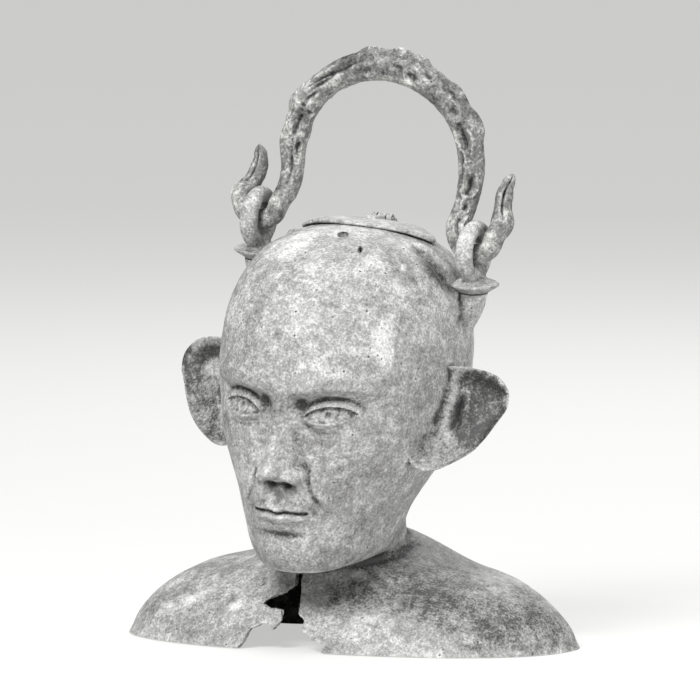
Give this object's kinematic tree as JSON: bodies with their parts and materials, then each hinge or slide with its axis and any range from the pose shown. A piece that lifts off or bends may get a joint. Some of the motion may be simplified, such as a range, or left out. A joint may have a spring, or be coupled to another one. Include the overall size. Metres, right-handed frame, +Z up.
{
  "type": "bust-shaped oil flask",
  "caption": "Cast bronze oil flask in the form of a bald man's bust, hollow and open below, with a hinged lid on the crown and a swinging bail handle.",
  "frame": {"origin": "on the surface it stands on, under the middle of the whole flask's box", "axes": "+Z up, the face towards -Y, the bust's own left side towards +X"},
  "size_m": [0.1498, 0.0982, 0.1856],
  "materials": {
    "cast_bronze": "cast bronze, corroded and matte, pitted, with pale patches",
    "handle_bronze": "cast bronze, corroded, worn a little smoother"
  },
  "bodies": {
    "bust": {"bust_body": "cast_bronze", "handle_loop_left": "cast_bronze", "handle_loop_right": "cast_bronze", "lid_hinge_bracket": "cast_bronze", "lid_hinge_pin": "handle_bronze"},
    "bail": {"bail_handle": "handle_bronze"},
    "lid": {"lid": "cast_bronze"}
  },
  "joints": [
    {"name": "bail_swing", "type": "hinge", "parent": "bust", "child": "bail", "pos_m": [0.00616, 0.01329, 0.12642], "axis": [0.9951, 0.0044, -0.0991], "range_deg": [-78, 94]},
    {"name": "lid_hinge", "type": "hinge", "parent": "bust", "child": "lid", "pos_m": [0.00688, 0.02327, 0.13161], "axis": [-0.9981, 0, 0.0611], "range_deg": [0, 105]}
  ]
}
